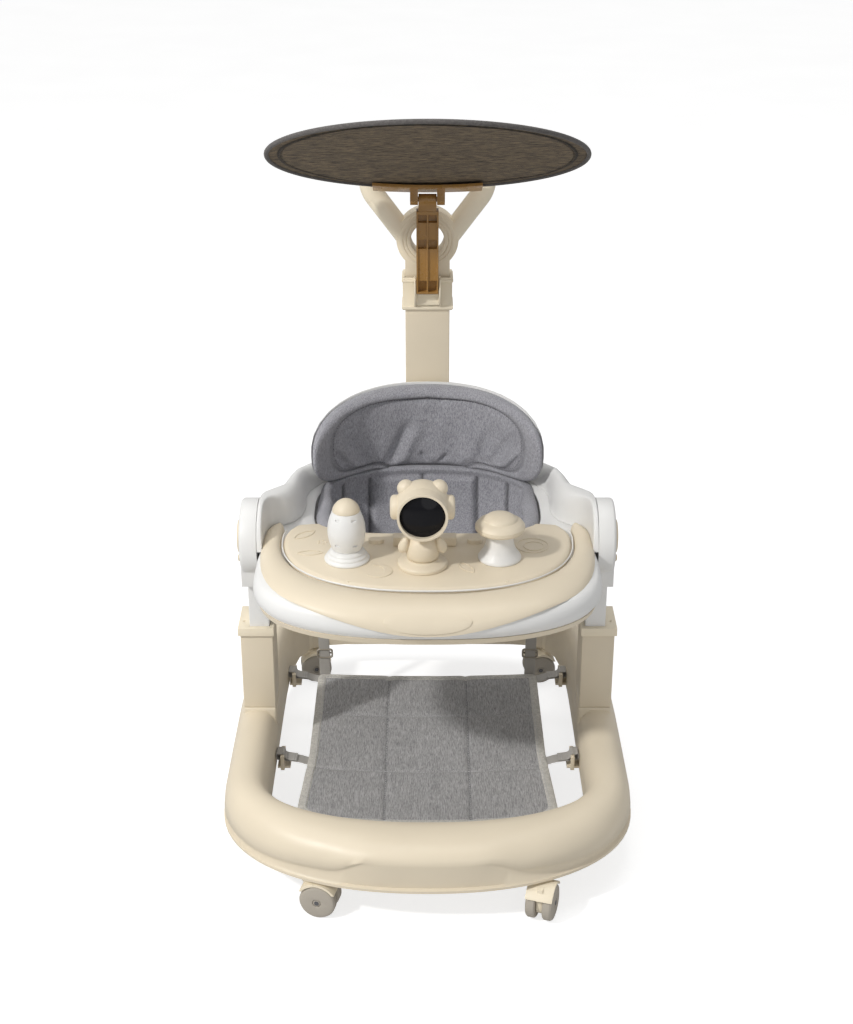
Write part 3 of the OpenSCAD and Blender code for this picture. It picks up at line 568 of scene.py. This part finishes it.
def foot_mat():
    columns = 190
    ys = steps_between(mat_low.y + 1 * MM, mat_high.y - 1 * MM, 200)
    points = []
    for y in ys:
        for u in steps_between(-1, 1, columns):
            x = u * (mat_half(y) - 1 * MM)
            points.append((x, y, mat_height(x, y)))
    mat = add_mesh("foot_mat_cloth", points, grid_faces(len(ys), columns), MAT_CLOTH)
    # Painted shade along the two lengthwise seams; the seams across are left light.
    paint_seam_shade(mat, lambda p: 0.75 * near(min(abs(p.x - s) for s in MAT_SEAMS_X), 1.1 * MM))
    thicken(mat, MAT_THICK)
    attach(mat, "base")
    edge = mat_outline(5.8 * MM)
    drop = Vector((0, 0, MAT_THICK / 2))
    folded = swept([p - drop for p in edge], outward(edge), flat_section(14 * MM, 6.6 * MM), wrap=True)
    binding = add_mesh("foot_mat_binding", *folded, BINDING_CLOTH)
    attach(binding, "base")
    ends = 12 * MM
    lengthwise = steps_between(mat_low.y + ends, mat_high.y - ends, 160)
    seams = [[on_mat(x, y) for y in lengthwise] for x in MAT_SEAMS_X]
    for y in MAT_SEAMS_Y:
        seams.append([on_mat(u * (mat_half(y) - ends), y) for u in steps_between(-1, 1, 160)])
    lift = Vector((0, 0, 1.7 * MM))
    sewing = stitches("foot_mat_sewing", seams, LIGHT_THREAD, "base", radius=0.6 * MM)
    hem = stitches("foot_mat_hem_sewing", [[p + lift for p in mat_outline(9.6 * MM)]], LIGHT_THREAD, "base")
    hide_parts("foot_mat")


def on_mat(x, y):
    return Vector((x, y, mat_height(x, y) + 0.1 * MM))


foot_mat()

# ---------- straps ----------

STRAP_THICK = 1.5 * MM
SLOT_STRAP_W = 21.5 * MM
TALL_STRAP_W = 18 * MM


def side_strap(name, side, y):
    """Tape sewn to the mat, through the hook's slot, round its top and back on itself."""
    hook_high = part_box("strap_hooks")[1]
    wall = hook_high.x - 8.5 * MM
    ride_z = mat_high.z + 1.4 * MM
    wrap = (hook_high.z - ride_z) / MM + 1.3
    outline = [
        (-44, -3.6), (-38, -2.6), (-30, 0.2), (-18, 2.4), (-6, 3.6), (4.2, 5.2), (6.4, 9), (5.6, wrap),
        (1.2, wrap), (-4.4, wrap), (-7.2, 8.0), (-12, 5.6), (-20, 4.2), (-25, 3.6),
    ]
    corners = [Vector((side * (wall + across * MM), y, ride_z + up * MM)) for across, up in outline]
    path = curve_through(corners, 6)
    tape = swept(path, [Vector((0, 1, 0))] * len(path), flat_section(SLOT_STRAP_W, STRAP_THICK))
    strap = add_mesh(name, *tape, STRAP_TAPE)
    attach(strap, "base")
    sewn = []
    for across, up in ((-23, 4.9), (-19.5, 5.3)):
        x = side * (wall + across * MM)
        z = ride_z + up * MM
        sewn.append([Vector((x, at_y, z)) for at_y in steps_between(y - 8 * MM, y + 8 * MM, 12)])
    patch = stitches(name + "_sewing", sewn, LIGHT_THREAD, "base", radius=0.3 * MM)
    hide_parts("side_straps")


def rear_strap(name, side):
    """Tape from the mat's rear corner up to the seat, leaning outwards, through a buckle."""
    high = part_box("rear_straps")[1]
    top = high.z + 34 * MM
    middle = high.x - 12.5 * MM
    back = mat_high.y + 1.8 * MM
    corners = [
        Vector((side * (middle - 1 * MM), back - 10 * MM, mat_high.z - 5.5 * MM)),
        Vector((side * (middle - 1 * MM), back - 2 * MM, mat_high.z - 4 * MM)),
        Vector((side * (middle - 0.8 * MM), back + 0.9 * MM, mat_high.z + 1 * MM)),
        Vector((side * (middle - 0.6 * MM), back + 1.2 * MM, mat_high.z + 24 * MM)),
        Vector((side * middle, back + 1.4 * MM, mat_high.z + 60 * MM)),
        Vector((side * (middle + 3 * MM), back + 1.8 * MM, mix(mat_high.z, top, 0.6))),
        Vector((side * (middle + 5 * MM), back + 2 * MM, top)),
    ]
    path = curve_through(corners, 14)
    tape = swept(path, [Vector((1, 0, 0))] * len(path), flat_section(TALL_STRAP_W, STRAP_THICK))
    strap = add_mesh(name, *tape, TALL_TAPE)
    buckle = ladder_buckle(name + "_buckle", side * (middle - 1.3 * MM), back + 1.3 * MM, 109 * MM)
    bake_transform(strap)
    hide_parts("rear_straps")


def ladder_buckle(name, x, y, z):
    """A flat plastic frame with a bar across its middle, standing round the tape."""
    half_w, half_h = 12.2 * MM, 7.5 * MM
    ring = [
        Vector((x + half_w * squared(math.cos(t), 0.4), y, z + half_h * squared(math.sin(t), 0.4)))
        for t in turns_of(40)
    ]
    frame_part = swept(ring, [Vector((0, 1, 0))] * 40, flat_section(5.4 * MM, 2.8 * MM, 10), wrap=True)
    bar = [Vector((x + half_w * u, y + 1.9 * MM, z)) for u in (-1, -0.5, 0, 0.5, 1)]
    bar_part = swept(bar, [Vector((0, 0, 1))] * 5, flat_section(3.4 * MM, 1.8 * MM, 10))
    buckle = add_mesh(name, *joined([frame_part, bar_part]), BUCKLE_PLASTIC)
    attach(buckle, "base")
    return buckle


strap_low, strap_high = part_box("side_straps")
for end_name, strap_y in (("front", strap_low.y + 11 * MM), ("rear", strap_high.y - 11 * MM)):
    for side_name, strap_side in (("left", -1), ("right", 1)):
        side_strap(f"side_strap_{side_name}_{end_name}", strap_side, strap_y)
rear_strap("rear_strap_left", -1)
rear_strap("rear_strap_right", 1)

# ---------- seat sling ----------

sling_low, sling_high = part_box("seat_sling")
SLING_Y = (sling_low.y + sling_high.y) / 2
SLING_TURNS = 300
SLING_GAP = 2.5 * MM  # from the edge of the opening in to the hanging cloth
TUCK_H = 8 * MM  # height of the step in from the rolled rim
LEG_X, LEG_Z, LEG_R = 80 * MM, 334 * MM, 44 * MM
BACK_SEAMS = tuple(x * MM for x in (-134, -93, -8, 80, 128))
INSERT = (-93 * MM, 80 * MM)  # left and right ends of the padded insert in the rear wall


def sling_edge(turn):
    """Distance from the seat's middle to the edge of the opening, in direction turn."""
    power = 4 if math.sin(turn) < 0 else 2.25
    return oval_reach(turn, sling_high.x, (sling_high.y - sling_low.y) / 2, power)


def sling_row(kind, value):
    """One ring of the sling: round the rolled rim first, then down the wall and across the bottom."""
    ring = []
    for turn in turns_of(SLING_TURNS):
        side = ease((abs(math.cos(turn)) - 0.6) / 0.3) * (1 - ease((math.sin(turn) - 0.02) / 0.4))
        front = ease((-math.sin(turn) - 0.6) / 0.3)
        rear = ease((math.sin(turn) - 0.12) / 0.3)
        roll_w = (3 + 9.5 * side + 4.5 * front) * MM
        roll_h = (3 + 9 * side + 0.8 * front) * MM
        reach = sling_edge(turn)
        middle = sling_high.z + (1.5 * side + 4.5 * rear) * MM - roll_h
        lap = 8.5 * MM * rear
        if kind == "roll":
            inward = roll_w * (1 + math.cos(value)) - lap * (0.5 - 0.5 * math.cos(value))
            z = middle + roll_h * math.sin(value)
        elif kind == "tuck":
            inward = mix(2 * roll_w, SLING_GAP, ease(value))
            z = middle - value * (roll_h + TUCK_H)
        else:
            start = middle - roll_h - TUCK_H
            z = mix(start, sling_low.z + SLING_GAP, value)
            inward = SLING_GAP
            reach *= max(0.03, 1 - value**2.5) ** 0.52
        reach -= inward * reach / sling_edge(turn)
        ring.append((reach * math.cos(turn), SLING_Y + reach * math.sin(turn), z))
    return ring


def sling_seam(p):
    """1 in a seam of the rear wall, falling to 0 beside it."""
    rear = ease((p.y - SLING_Y - 5 * MM) / (50 * MM)) * ease((sling_high.z - 4 * MM - p.z) / (6 * MM))
    return rear * near(min(abs(p.x - s) for s in BACK_SEAMS), 2.4 * MM)


def sling_relief(p):
    """Seams, the padded insert and soft creases on the rear wall, and a little slackness everywhere."""
    rear = ease((p.y - SLING_Y - 5 * MM) / (50 * MM))
    below = ease((sling_high.z - 6 * MM - p.z) / (8 * MM))
    inside = min(p.x - INSERT[0], INSERT[1] - p.x, sling_high.z - 9 * MM - p.z)
    insert = 6 * MM * ease(inside / (8 * MM))
    groove = -3.4 * MM * sling_seam(p)
    crease = 2.0 * MM * ripple(p.x * 1.6, p.y * 0.4, p.z * 0.5, 18, 5.0)
    crease += 0.7 * MM * ripple(p.x, p.y, p.z, 60, 2.0)
    return rear * below * (insert + groove) + crease * ease((sling_high.z - 4 * MM - p.z) / (30 * MM))


def cut_leg_holes(o):
    """Removes the cloth inside the two leg holes and rounds the holes' edges."""
    shape = bmesh.new()
    shape.from_mesh(o.data)

    def off_axis(p):
        side = 1 if p.x > 0 else -1
        return Vector((p.x - side * LEG_X, 0, p.z - LEG_Z)), side

    def is_front(p):
        return p.y < SLING_Y - 45 * MM

    def is_in_hole(p):
        return is_front(p) and off_axis(p)[0].length < LEG_R

    inside = [f for f in shape.faces if is_in_hole(f.calc_center_median())]
    bmesh.ops.delete(shape, geom=inside, context="FACES")
    loops = {-1: [], 1: []}
    for v in shape.verts:
        offset, side = off_axis(v.co)
        if v.is_boundary and is_front(v.co) and offset.length < LEG_R * 1.3:
            v.co += offset.normalized() * (LEG_R - offset.length)
            loops[side].append(v.co.copy())
    shape.to_mesh(o.data)
    shape.free()
    lines = []
    for side, loop in loops.items():
        loop.sort(key=lambda p: math.atan2(p.z - LEG_Z, p.x - side * LEG_X))
        lines.append(smoothed(loop, 4))
    return lines


def seat_sling():
    rows = [sling_row("roll", math.pi + 0.5 - (math.pi + 0.5) * i / 14) for i in range(15)]
    rows += [sling_row("tuck", (i + 1) / 5) for i in range(5)]
    rows += [sling_row("wall", (i + 1) / 52) for i in range(52)]
    faces = grid_faces(len(rows), SLING_TURNS, ring=True)
    last = (len(rows) - 1) * SLING_TURNS
    faces.append(tuple(range(last, last + SLING_TURNS)))
    sling = add_mesh("seat_sling_cloth", [p for r in rows for p in r], faces, SEAT_CLOTH)
    middle = min(sling.data.vertices, key=lambda v: abs(v.co.z - 0.36) + abs(v.co.y - sling_high.y))
    if middle.normal.y > 0:
        sling.data.flip_normals()
    # Painted shade in the rear wall's seam grooves.
    paint_seam_shade(sling, lambda p: 0.8 * sling_seam(p))
    push(sling, sling_relief)
    holes = cut_leg_holes(sling)
    thicken(sling, 2.2 * MM)
    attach(sling, "seat_unit")
    for name, loop in zip(("left", "right"), holes):
        tape = oval_section(3.2 * MM, 2.2 * MM, 10)
        folded = swept(loop, [Vector((0, 1, 0.3))] * len(loop), tape, wrap=True)
        binding = add_mesh(f"leg_hole_binding_{name}", *folded, BINDING_CLOTH)
        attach(binding, "seat_unit")
    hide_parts("seat_sling")


seat_sling()

# ---------- backrest pad ----------

pad_low, pad_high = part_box("backrest_pad")
PAD_AXIS_Y = 90 * MM
PAD_R = 195 * MM
PAD_MID_Z = pad_high.z - 75 * MM
PAD_TURNS = 260
# Folds as ((x, z), (x, z), height, width), from the pad's middle line and its bottom edge.
PAD_FOLDS = [
    ((-98, 0), (-150, 74), 4.2, 5.0), ((-88, 2), (-134, 88), -2.4, 6.0), ((-112, 0), (-158, 48), -2.6, 5.0),
    ((104, 0), (158, 76), 4.0, 5.0), ((92, 2), (140, 86), -2.2, 6.0), ((120, 0), (162, 44), -2.4, 5.0),
    ((-66, 0), (-26, 84), -4.4, 9.0), ((-44, 0), (-12, 74), 2.6, 9.0), ((4, 0), (-12, 26), -3.4, 4.0),
    ((14, 0), (34, 24), -3.6, 4.2), ((20, 2), (24, 90), 1.8, 12.0), ((60, 0), (78, 70), 1.8, 11.0),
    ((82, 0), (98, 78), -2.4, 8.0), ((-118, 20), (-150, 30), 1.6, 5.0), ((128, 18), (160, 26), 1.8, 5.0),
]


def pad_reach(turn):
    """Distance from the pad's middle to its edge, in direction turn, as seen from the front."""
    up = math.sin(turn) > 0
    half_z, power = (75 * MM, 3) if up else (93 * MM, 2.6)
    reach = oval_reach(turn, 178 * MM, half_z, power)
    if up or abs(math.sin(turn)) < 0.05:
        return reach
    floor_reach = (PAD_MID_Z - pad_low.z - 0.5 * MM) / abs(math.sin(turn))
    return -12 * MM * math.log(math.exp(-reach / (12 * MM)) + math.exp(-floor_reach / (12 * MM)))


def fold_height(x, z):
    total = 0.0
    for (x0, z0), (x1, z1), height, width in PAD_FOLDS:
        a = Vector((x0 * MM, pad_low.z + z0 * MM))
        d = Vector((x1 * MM, pad_low.z + z1 * MM)) - a
        p = Vector((x, z)) - a
        t = p.dot(d) / d.length_squared
        off = (p - d * min(1, max(0, t))).length
        total += height * MM * near(off, width * MM) * ease((1.06 - t) / 0.35)
    return total


def pad_band(turn):
    """Width of the padded rim band: wider at the sides, and nothing along the bottom."""
    width = mix(17, 27, abs(math.cos(turn)) ** 1.5) * MM
    return width * ease((math.sin(turn) + 0.75) / 0.3) + 1 * MM


def pad_depth(turn, inset):
    """Thickness of the pad at a distance in from its edge."""
    reach = pad_reach(turn) - inset
    x = reach * math.cos(turn)
    z = PAD_MID_Z + reach * math.sin(turn)
    band = pad_band(turn)
    inner = inset - band
    gathers = 0.55 * MM * math.sin(turn * 118 + 3 * ripple(x, 0, z, 40)) * near(inner, 6 * MM)
    if inner < 0:
        u = inset / band
        roll = mix(4, 12.5, u) + 10 * math.sqrt(max(0, 1 - (2 * u - 1) ** 2))
        return roll * MM + gathers + 0.5 * MM * ripple(x, 0, z, 55, 4.0) * math.sin(math.pi * u)
    slack = ease(inner / (16 * MM))
    bottom = 2.5 * MM * math.exp(-max(0, z - pad_low.z) / (5 * MM))
    body = 12 * MM + 3.5 * MM * (1 - math.exp(-inner / (8 * MM))) - bottom
    crease = 0.8 * MM * ripple(x * 1.8, 0, z * 0.6, 30, 1.0) + 0.3 * MM * ripple(x, 0, z, 110, 6.0)
    return body + slack * (1.5 * fold_height(x, z) + crease) + gathers


def pad_point(turn, inset, depth):
    reach = pad_reach(turn) - inset
    x = reach * math.cos(turn)
    radius = PAD_R - depth
    y = PAD_AXIS_Y + math.sqrt(max(0, radius * radius - x * x))
    return Vector((x, y, PAD_MID_Z + reach * math.sin(turn)))


def pad_front(turn, inset):
    return pad_point(turn, inset, pad_depth(turn, inset))


def pad_seam_shade(p):
    """Painted shade: 1 along the seam between the rim band and the inner panel, and in the crease under the
    pad where it meets the sling.
    """
    turn = math.atan2(p.z - PAD_MID_Z, p.x)
    inset = pad_reach(turn) - math.hypot(p.x, p.z - PAD_MID_Z)
    front = ease((PAD_R - 2 * MM - math.hypot(p.x, p.y - PAD_AXIS_Y)) / MM)
    under = near(p.z - pad_low.z, 3.5 * MM)
    return front * max(0.8 * near(inset - pad_band(turn), 1.5 * MM), under * 0.9)


def backrest():
    turns = turns_of(PAD_TURNS)
    rim_insets = [i * i * 0.05 * MM for i in range(1, 24)]
    points = []
    shares = [i / 46 for i in range(1, 47)]
    for share in reversed(shares):
        for turn in turns:
            points.append(pad_front(turn, mix(rim_insets[-1], pad_reach(turn) - 0.6 * MM, share)))
    for inset in reversed(rim_insets):
        points += [pad_front(turn, inset) for turn in turns]
    for inset, depth in ((0.0, 3.2), (-0.3, 1.8), (0.1, 0.6), (1.2, 0.1), (8.0, 0.0)):
        points += [pad_point(turn, inset * MM, depth * MM) for turn in turns]
    for share in (0.3, 0.6, 0.97):
        points += [pad_point(turn, share * pad_reach(turn), 0) for turn in turns]
    rows = len(points) // PAD_TURNS
    faces = grid_faces(rows, PAD_TURNS, ring=True)
    faces += [tuple(range(PAD_TURNS)), tuple(range((rows - 1) * PAD_TURNS, rows * PAD_TURNS))]
    pad = add_mesh("backrest_cushion", points, faces, SEAT_CLOTH)
    paint_seam_shade(pad, pad_seam_shade)
    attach(pad, "seat_unit")
    seam = []
    for turn in steps_between(math.radians(-38), math.radians(218), 420):
        inset = pad_band(turn) + 2.5 * MM
        seam.append(pad_point(turn, inset, pad_depth(turn, inset) + 0.2 * MM))
    sewing = stitches("backrest_sewing", [seam], DARK_THREAD, "seat_unit", radius=0.35 * MM)
    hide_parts("backrest_pad")


backrest()

# ---------- sunshade ----------


def sunshade():
    low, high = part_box("sunshade_disc")
    middle = (low + high) / 2
    tilt = math.atan2(high.z - low.z, high.y - low.y)
    edge = high.x
    ring_count = 60
    turns = 240
    hem = 14 * MM
    radii = [edge * (i + 0.5) / ring_count for i in range(ring_count)]
    radii += [edge - hem + d * MM for d in (-2.4, -1.2, -0.5, 0, 0.5, 1.2, 2.4)]
    radii = sorted(radii + [edge + 1.5 * MM])
    points = []
    for r in radii:
        for turn in turns_of(turns):
            x = r * math.cos(turn)
            y = r * math.sin(turn)
            inside = edge - hem - r
            lift = 0.9 * MM if inside < 0 else 0.0
            dip = -1.0 * MM * near(inside, 1.3 * MM)
            slack = 2.2 * MM * ripple(x, y, 0, 9, 1.0) + 0.35 * MM * ripple(x, y, 0, 60, 2.0)
            crown = 3.5 * MM * (1 - (r / edge) ** 2)
            points.append((x, y, 1.0 * MM + lift + dip + crown + slack * ease((edge - r) / (25 * MM))))
    faces = grid_faces(len(radii), turns, ring=True) + [tuple(range(turns))]
    disc = add_mesh("sunshade_cloth", points, faces, SHADE_CLOTH)
    # Painted shade in the groove along the hem seam.
    paint_seam_shade(disc, lambda p: 0.8 * near(math.hypot(p.x, p.y) - edge + hem, 1.6 * MM))
    thicken(disc, 2.0 * MM)
    tube_r = 3.3 * MM
    rim_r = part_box("sunshade_rim")[1].x - 3.1 * MM
    path = [Vector((rim_r * math.cos(t), rim_r * math.sin(t), 0)) for t in turns_of(320)]
    tube = swept(path, outward(path), oval_section(tube_r, tube_r, 14), wrap=True)
    piping = add_mesh("sunshade_piping", *tube, PIPING_CLOTH)
    sewn_at = edge - hem + 3.2 * MM
    around = steps_between(0, 2 * math.pi, 500)
    line = [Vector((sewn_at * math.cos(t), sewn_at * math.sin(t), 2.2 * MM)) for t in around]
    sewing = stitches("sunshade_sewing", [line], DARK_THREAD, "sunshade", radius=0.35 * MM)
    sewing.parent = None
    for o in (disc, piping, sewing):
        o.rotation_euler = (-tilt, 0, 0)
        o.location = middle
        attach(o, "sunshade")
    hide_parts("sunshade_disc")
    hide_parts("sunshade_rim")


sunshade()

# ---------- small hard parts ----------


SCREW_TURNS = 48


def wheel_screws(joint):
    """A recessed cross-head screw in the middle of each of a caster's two discs."""
    axis = Vector(joint["axis"]).normalized()
    up = Vector((0, 0, 1))
    level = axis.cross(up)
    parts = []
    for end in (-1, 1):
        face = Vector(joint["pos_m"]) + axis * end * 19.2 * MM
        rings = [(0.2, 0.2), (0.9, 0.2), (1.0, 0.75), (2.6, 0.75), (3.3, 0.5), (3.5, 0.0), (3.5, -1.4)]
        points = []
        for radius, lift in rings:
            for turn in turns_of(SCREW_TURNS):
                slot_depth = 0.9 if radius < 2.5 and min(abs(math.sin(2 * turn)), 1) < 0.35 else 0.0
                out = level * math.cos(turn) + up * math.sin(turn)
                points.append(face + out * radius * MM + axis * end * (lift - slot_depth) * MM)
        last = SCREW_TURNS * (len(rings) - 1)
        faces = grid_faces(len(rings), SCREW_TURNS, ring=True)
        faces += [tuple(range(SCREW_TURNS)), tuple(range(last, last + SCREW_TURNS))]
        parts.append((points, faces))
    screws = add_mesh(joint["child"] + "_screws", *joined(parts), DARK_STEEL, smooth=False)
    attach(screws, joint["child"])


for caster_joint in frame["record"]["behaviour"]["joints"]:
    if caster_joint["name"].endswith("_wheel_roll"):
        wheel_screws(caster_joint)


def tray_bead():
    """The white bead of the tray that shows between the panel and the trim."""
    low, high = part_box("play_panel")
    middle_y = -15 * MM
    gap = 1.2 * MM
    half_x = high.x + gap
    half_y = middle_y - low.y + gap
    path = []
    for i in range(221):
        turn = math.radians(-187 + 194 * i / 220)
        side_y = half_y if math.sin(turn) < 0 else 100 * MM
        reach = oval_reach(turn, half_x, side_y, 2.35)
        path.append(Vector((reach * math.cos(turn), middle_y + reach * math.sin(turn), low.z + 8 * MM)))
    outwards = [Vector((p.x, p.y - middle_y, 0)).normalized() for p in path]
    tube = swept(path, outwards, oval_section(1 * MM, 1.5 * MM, 10))
    bead = add_mesh("tray_bead", *tube, MATERIALS["white_plastic"])
    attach(bead, "seat_unit")


tray_bead()

# ---------- floor, light and camera ----------


def stage():
    t = Tree("floor_paint")
    tone = t.spread(t.noise(3, 4), 0.3, 0.7, 0, 1)
    t.link(t.blend(tone, (0.50, 0.50, 0.50), (0.54, 0.54, 0.54)), t.shader, "Base Color")
    t.shader.inputs["Roughness"].default_value = 0.9
    t.shader.inputs["Emission Color"].default_value = (1, 1, 1, 1)
    seen = t.add("ShaderNodeLightPath").outputs["Is Camera Ray"]
    t.link(t.spread(seen, 0, 1, 0.08, 0.72), t.shader, "Emission Strength")
    t.bump(t.noise(300, 2), 0.0001)
    half = 12
    corners = [(-half, -half, 0), (half, -half, 0), (half, half, 0), (-half, half, 0)]
    add_mesh("floor", corners, [(0, 1, 2, 3)], t.material)


def area_light(name, at, aim, size, power, colour=(1, 1, 1)):
    data = bpy.data.lights.new(name, "AREA")
    data.shape = "DISK"
    data.size = size
    data.energy = power
    data.color = colour
    o = bpy.data.objects.new(name, data)
    o.location = at
    o.rotation_euler = (Vector(aim) - Vector(at)).to_track_quat("-Z", "Y").to_euler()
    bpy.context.scene.collection.objects.link(o)


def lights():
    area_light("key", (-2.2, -1.8, 2.7), (0, 0, 0.4), 0.24, 76, (1.0, 0.985, 0.96))
    area_light("top", (-0.2, 0.5, 3.4), (0, 0, 0.3), 2.6, 38)
    area_light("fill", (0.9, -3.6, 1.2), (0, 0, 0.5), 2.2, 9)
    world = bpy.data.worlds.new("studio")
    bpy.context.scene.world = world
    world.use_nodes = True
    backdrop = world.node_tree.nodes["Background"]
    backdrop.inputs["Color"].default_value = (1, 1, 1, 1)
    path = world.node_tree.nodes.new("ShaderNodeLightPath")
    strength = world.node_tree.nodes.new("ShaderNodeMapRange")
    strength.inputs["To Min"].default_value = 0.46
    strength.inputs["To Max"].default_value = 1.0
    world.node_tree.links.new(path.outputs["Is Camera Ray"], strength.inputs["Value"])
    world.node_tree.links.new(strength.outputs["Result"], backdrop.inputs["Strength"])
    bpy.context.scene.view_settings.view_transform = "Standard"


def camera():
    data = bpy.data.cameras.new("camera")
    data.lens = 58.0
    data.clip_end = 50
    o = bpy.data.objects.new("camera", data)
    o.location = (-0.0015, -2.197, 1.484)
    o.rotation_euler = (math.radians(90 - 25), 0, 0)
    bpy.context.scene.collection.objects.link(o)
    bpy.context.scene.camera = o


stage()
lights()
camera()
